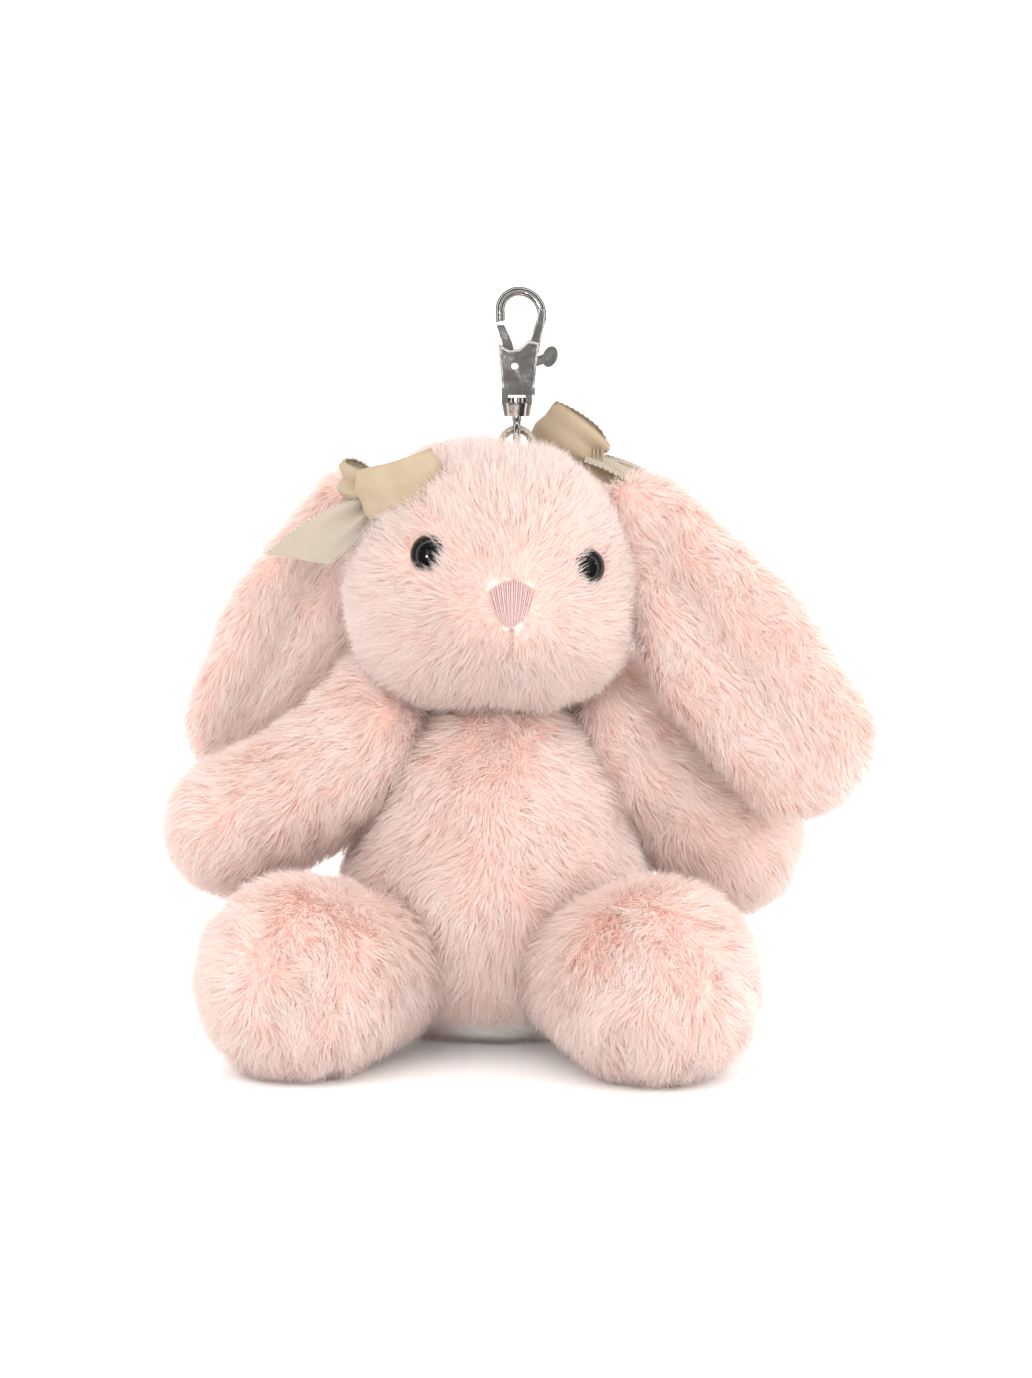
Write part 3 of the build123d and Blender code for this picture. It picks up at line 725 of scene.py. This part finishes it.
def ribbon(name, body, at, stations, across, pleats=2, slant=0.0, bend=0.0, width=RIBBON_WIDTH):
    """A ribbon along a curve, with its velvet face on the side that across x along points to.

    Each station is (x, y, z, shown width) in millimetres from at. Where less than the flat width shows, the
    rest is taken up in pleats. slant cuts the far end on the diagonal, as a share of the length, and bend
    arches the ribbon across its width."""
    rows, length = curve_through(stations, max(12, 2 * len(stations) * 4))
    count = len(rows)
    place, shown = rows[:, :3], np.minimum(rows[:, 3], width)
    along = unit(np.gradient(place, axis=0))
    side = np.array(across, dtype=float)
    side = unit(side - along * (along @ side)[:, None])
    face = np.cross(side, along)
    s = np.linspace(0, 1, ACROSS)
    fold = np.abs((s * 2 * pleats + 0.5) % 2 - 1) * 2 - 1
    depth = np.sqrt(np.maximum((width / (4 * pleats)) ** 2 - (shown / (4 * pleats)) ** 2, 0))
    reach = np.linspace(0, 1, count)[:, None] * (1 - slant * s[None, :])
    grid = np.empty((count, ACROSS, 3))
    for column, t in enumerate(s):
        where = reach[:, column] * (count - 1)
        low = np.clip(where.astype(int), 0, count - 2)
        part = (where - low)[:, None]
        across_here = side * ((t - 0.5) * shown)[:, None]
        across_here = across_here + face * (fold[column] * depth + bend * (1 - (2 * t - 1) ** 2))[:, None]
        line = place + across_here
        grid[:, column] = line[low] * (1 - part) + line[low + 1] * part
    grid = (grid + np.array(at) / MM) * MM
    ahead, beside = np.gradient(grid, axis=0), np.gradient(grid, axis=1)
    up = unit(np.cross(beside, ahead)) * RIBBON_THICK / 2 * MM
    points = np.concatenate([(grid + up).reshape(-1, 3), (grid - up).reshape(-1, 3)])
    layer = count * ACROSS

    def at_index(row, column, back=0):
        return back * layer + row * ACROSS + column

    faces, marks = [], []
    for row in range(count - 1):
        for column in range(ACROSS - 1):
            corners = [(row, column), (row, column + 1), (row + 1, column + 1), (row + 1, column)]
            faces.append([at_index(*corner) for corner in corners])
            marks.append([(corner, 0) for corner in corners])
            faces.append([at_index(*corner, 1) for corner in reversed(corners)])
            marks.append([(corner, 1) for corner in reversed(corners)])
    rim = [(row, 0) for row in range(count)] + [(count - 1, column) for column in range(1, ACROSS)]
    rim += [(row, ACROSS - 1) for row in range(count - 2, -1, -1)]
    rim += [(0, column) for column in range(ACROSS - 2, 0, -1)]
    for first, second in zip(rim, rim[1:] + rim[:1]):
        faces.append([at_index(*second), at_index(*first), at_index(*first, 1), at_index(*second, 1)])
        marks.append([(second, 1), (first, 1), (first, 1), (second, 1)])
    mesh = bpy.data.meshes.new(name)
    mesh.from_pydata(points.tolist(), [], faces)
    uv = mesh.uv_layers.new(name="OFBake")
    spots = []
    for mark in marks:
        for (row, column), back in mark:
            spots += [0.5 * back + 0.01 + 0.48 * s[column], row / (count - 1) * length / RIBBON_MAP]
    uv.uv.foreach_set("vector", spots)
    obj = link(name, mesh, RIBBON)
    shade_smooth(obj)
    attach(obj, body)
    return obj


def knot_ring(name, at, half_height, half_depth, shown):
    """The ribbon wrapped once round the middle of a bow."""
    turns = np.linspace(0, 2 * math.pi, 11)
    stations = [(0, half_depth * math.cos(turn), half_height * math.sin(turn), shown) for turn in turns]
    return ribbon(name, "head", at, stations, (-1, 0, 0), pleats=3)


def make_bows():
    knot = middle("bow_left_knot") + Vector((-0.8, -2.2, -1.6)) * MM
    front = [(1.5, 0.6, 0.3, 7), (-1.4, -0.8, 0, 9), (-2.3, -2.8, 0, 9.8), (-0.6, -4.5, 0.5, 9.9),
             (4, -5.9, 1.6, 9.9), (8, -6.6, 2.9, 9.9), (11.2, -6.0, 4.1, 9.8), (12.2, -4.2, 4.6, 9.6),
             (10.5, -2.4, 4.0, 9), (6, -1.0, 2.2, 8), (1, 0.6, 0.4, 6)]
    loop = ribbon("bow_left_front_loop", "head", knot, front, (0.3, -0.1, -0.95), bend=0.9)
    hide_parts("bow_left_loops")
    behind = [(0, 0.2, 0.6, 6), (-2.6, -1.2, 1.0, 7), (-5.2, 0.2, 1.6, 8), (-6.4, 3, 2.2, 8.6),
              (-5.2, 5, 2.4, 8.6), (-2.6, 4.4, 1.6, 8), (0, 1.6, 0.8, 6)]
    ribbon("bow_left_back_loop", "head", knot, behind, (0.05, -0.1, 0.99), bend=0.6)
    ring = knot_ring("bow_left_wrap", knot, 3.6, 2.3, 2.6)
    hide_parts("bow_left_knot")
    trail = [(-0.4, -0.8, -2.4, 4.5), (-3.2, -1.6, -4.0, 6.5), (-6.6, -1.2, -6.4, 8.6),
             (-12.2, 0.6, -10.2, 9.8), (-19, 3.6, -16.0, 10)]
    tail = ribbon("bow_left_satin_tail", "head", knot, trail, (0.56, -0.2, -0.8), slant=0.42)
    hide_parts("bow_left_tail")

    knot = middle("bow_right_knot") + Vector((-0.4, -1.8, 1.3)) * MM
    front = [(0, -0.8, 0, 7.5), (-3.8, -3.2, 2.6, 9.4), (-7.8, -3.4, 5.4, 9.9), (-10.6, -2.2, 7.3, 9.9),
             (-10.9, -0.8, 7.6, 9.8), (-7, 0.4, 5.8, 9.6), (-2.6, 0.8, 3.0, 8.8), (0, 0.6, 0.7, 6)]
    loop = ribbon("bow_right_front_loop", "head", knot, front, (0.66, -0.05, 0.75), bend=0.6)
    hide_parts("bow_right_loops")
    ring = knot_ring("bow_right_wrap", knot, 3.4, 2.4, 2.4)
    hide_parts("bow_right_knot")
    trail = [(-2.6, -3.0, -1.2, 6), (1, -4.2, -2.6, 7.5), (5, -4.8, -4.4, 9), (8.6, -4.4, -6.2, 9.6),
             (10.2, -4, -7.2, 10)]
    tail = ribbon("bow_right_velvet_tail", "head", knot, trail, (-0.25, -0.6, -0.75), bend=0.6)
    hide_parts("bow_right_tail")
    trail = [(-2, -2.6, 0.6, 6), (1.8, -3.6, -0.4, 8), (5.6, -4.2, -2.0, 9.6), (9.2, -4, -3.8, 10)]
    ribbon("bow_right_satin_tail", "head", knot, trail, (0.15, 0.95, 0.3), bend=0.4)


def make_hang_loop():
    """The hang loop, a folded ribbon that arches through the swivel ring."""
    low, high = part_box("hang_loop")
    half = (high[0] - low[0]) / 2 / MM - 0.5
    foot = Vector(((low[0] + high[0]) / 2, (low[1] + high[1]) / 2, low[2]))
    crown = (high[2] - low[2]) / MM - half - 0.5
    stations = [(-half, 0, 0, 4.6), (-half, 0, crown * 0.5, 4.7)]
    for turn in np.linspace(math.pi, 0, 7):
        stations.append((half * math.cos(turn), 0, crown + half * math.sin(turn), 4.8))
    stations += [(half, 0, crown * 0.5, 4.7), (half, 0, 0, 4.6)]
    loop = ribbon("hang_ribbon", "loop", foot, stations, (0, 1, 0), pleats=4)
    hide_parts("hang_loop")


# ---------------------------------------------------------------- stitched nose and mouth

def thread_mesh(name, lines, radius, replaced):
    """Round threads along lines of points, in one mesh."""
    points, faces = [], []
    sides = 6
    for line in lines:
        line = np.array(line)
        along = unit(np.gradient(line, axis=0))
        side = unit(np.cross(along, [0.0, 1.0, 0.01]))
        out = np.cross(along, side)
        first = len(points)
        for k in range(len(line)):
            for turn in np.linspace(0, 2 * math.pi, sides, endpoint=False):
                points.append(line[k] + radius * MM * (side[k] * math.cos(turn) + out[k] * math.sin(turn)))
        for k in range(len(line) - 1):
            for j in range(sides):
                a, b = first + k * sides + j, first + k * sides + (j + 1) % sides
                faces.append([a, b, b + sides, a + sides])
        faces.append([first + j for j in range(sides)])
        last = first + (len(line) - 1) * sides
        faces.append([last + j for j in reversed(range(sides))])
    mesh = bpy.data.meshes.new(name)
    mesh.from_pydata([tuple(point) for point in points], [], faces)
    obj = link(name, mesh, THREAD)
    shade_smooth(obj)
    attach(obj, "head")
    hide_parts(replaced)
    return obj


def on_face(x, z, lift):
    """The point of the head's cover in front of (x, z), raised by lift millimetres."""
    low, high = (as_array(corner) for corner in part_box("head_cover"))
    centre, half = (low + high) / 2, (high - low) / 2
    depth = 1 - ((x - centre[0]) / half[0]) ** 2 - ((z - centre[2]) / half[2]) ** 2
    return [x, centre[1] - half[1] * math.sqrt(max(depth, 0)) - lift * MM, z]


def make_nose():
    low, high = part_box("nose_stitching")
    half, top, tip = (high[0] - low[0]) / 2 + 0.4 * MM, high[2], low[2] + 0.2 * MM
    lines = []
    for t in np.linspace(-1, 1, 19):
        line = []
        for k in np.linspace(0, 1, 9):
            spread = t * half * (1 - k) ** 0.5 + t * 0.4 * MM * k
            start = top - 1.9 * MM * t ** 2
            height = start - (start - tip - 0.4 * MM * abs(t)) * k
            swell = 1.3 * math.sin(math.pi * min(k * 1.05, 1)) ** 0.6 * (1 - 0.45 * t ** 2)
            line.append(on_face(NOSE.x + spread, height, 0.5 + swell + 0.2 * (len(lines) % 2)))
        lines.append(line)
    thread_mesh("nose_threads", lines, 0.19, "nose_stitching")
    lines = []
    for shift in (-0.28, 0.0, 0.28):
        line = [on_face(NOSE.x + shift * MM - 0.15 * k * MM, tip + 0.4 * MM - k * 4.6 * MM, 1.5 - 0.9 * k)
                for k in np.linspace(0, 1, 6)]
        lines.append(line)
    thread_mesh("mouth_threads", lines, 0.18, "mouth_stitch")


# ---------------------------------------------------------------- carried-over CAD nodes

def give(material, *names):
    for name in names:
        mesh = NODES[name].data
        mesh.materials.clear()
        mesh.materials.append(material)


def dress_nodes():
    give(NICKEL, "clasp_frame", "clasp_trigger", "clasp_rivet", "swivel_eye")
    give(SPRING, "trigger_spring")
    give(BLACK, "eye_left", "eye_right")
    give(NATURAL, "eye_washer_left", "eye_washer_right")
    for name in NODES:
        if name.endswith("_stuffing"):
            give(FILL, name)


# ---------------------------------------------------------------- floor, light and camera

ELEVATION = 7.0
LENS = 90.0
DISTANCE = 0.689
AIM_HEIGHT = 0.465               # of the object's height
AIM_SIDE = 0.5                   # of its width


def make_floor():
    size = 30.0
    mesh = bpy.data.meshes.new("floor")
    corners = [(-size, -size, 0), (size, -size, 0), (size, size, 0), (-size, size, 0)]
    mesh.from_pydata(corners, [], [(0, 1, 2, 3)])
    floor = link("floor", mesh, plain_material("pale_floor", (0.995, 0.995, 0.995), 0.9, dark=0.99, scale=20))
    floor.visible_glossy = False


def make_world():
    """White to the camera, soft white light, and a darker room in front for what shines to reflect."""
    world = bpy.data.worlds.new("studio")
    bpy.context.scene.world = world
    world.use_nodes = True
    tree = world.node_tree
    links, nodes = tree.links, tree.nodes
    background = nodes["Background"]
    background.inputs["Color"].default_value = (0.97, 0.965, 0.96, 1)
    background.inputs["Strength"].default_value = 1.75
    direction = nodes.new("ShaderNodeTexCoord")
    split = nodes.new("ShaderNodeSeparateXYZ")
    room = ramp(tree, [(0.0, (0.15, 0.15, 0.15)), (0.012, (0.35, 0.34, 0.33)), (0.03, (1.3, 1.27, 1.24)),
                       (0.06, (0.25, 0.25, 0.25)), (0.11, (0.05, 0.05, 0.05)), (0.32, (0.05, 0.05, 0.05)),
                       (0.42, (2.0, 2.0, 2.0)), (0.55, (0.15, 0.15, 0.15)), (0.9, (0.4, 0.4, 0.4))])
    half = nodes.new("ShaderNodeMapRange")
    half.inputs["From Min"].default_value = -1
    shiny = nodes.new("ShaderNodeBackground")
    path = nodes.new("ShaderNodeLightPath")
    mix = nodes.new("ShaderNodeMixShader")
    links.new(direction.outputs["Generated"], split.inputs[0])
    links.new(split.outputs["Y"], half.inputs["Value"])
    links.new(half.outputs["Result"], room.inputs[0])
    links.new(room.outputs["Color"], shiny.inputs["Color"])
    links.new(path.outputs["Is Glossy Ray"], mix.inputs["Fac"])
    links.new(background.outputs[0], mix.inputs[1])
    links.new(shiny.outputs[0], mix.inputs[2])
    links.new(mix.outputs[0], nodes["World Output"].inputs["Surface"])


def area_light(name, place, aim, size, power, colour, shines=False):
    data = bpy.data.lights.new(name, "AREA")
    data.shape = "RECTANGLE"
    data.size, data.size_y = size
    data.energy = power
    data.color = colour
    light = bpy.data.objects.new(name, data)
    light.location = place
    light.rotation_mode = "QUATERNION"
    light.rotation_quaternion = (Vector(aim) - Vector(place)).to_track_quat("-Z", "Y")
    light.visible_glossy = shines
    bpy.context.scene.collection.objects.link(light)
    return light


def make_camera():
    low, high = cad_low, cad_high
    aim = Vector((low.x + (high.x - low.x) * AIM_SIDE, 0, high.z * AIM_HEIGHT))
    rise = math.radians(ELEVATION)
    back = Vector((0, -math.cos(rise), math.sin(rise)))
    data = bpy.data.cameras.new("camera")
    data.lens = LENS
    camera = bpy.data.objects.new("camera", data)
    camera.location = aim + back * DISTANCE
    camera.rotation_mode = "QUATERNION"
    camera.rotation_quaternion = (-back).to_track_quat("-Z", "Y")
    data.clip_start, data.clip_end = 0.01, 20
    bpy.context.scene.collection.objects.link(camera)
    bpy.context.scene.camera = camera


def make_studio():
    make_floor()
    make_world()
    area_light("key", (-0.45, -0.7, 0.6), (0, 0, 0.06), (0.7, 0.7), 2.0, (1, 0.98, 0.96))
    area_light("fill", (0.75, -0.5, 0.22), (0, 0, 0.06), (0.7, 0.7), 3.6, (1, 0.99, 0.98))
    catch = area_light("catch", (-0.2, -0.62, 0.02), (0, 0, 0.09), (0.13, 0.13), 1.6, (1, 1, 1), shines=True)
    catch.visible_diffuse = False
    make_camera()
    scene = bpy.context.scene
    scene.view_settings.view_transform = "Standard"
    scene.view_settings.look = "None"


make_plush()
make_bows()
make_hang_loop()
make_nose()
dress_nodes()
make_studio()
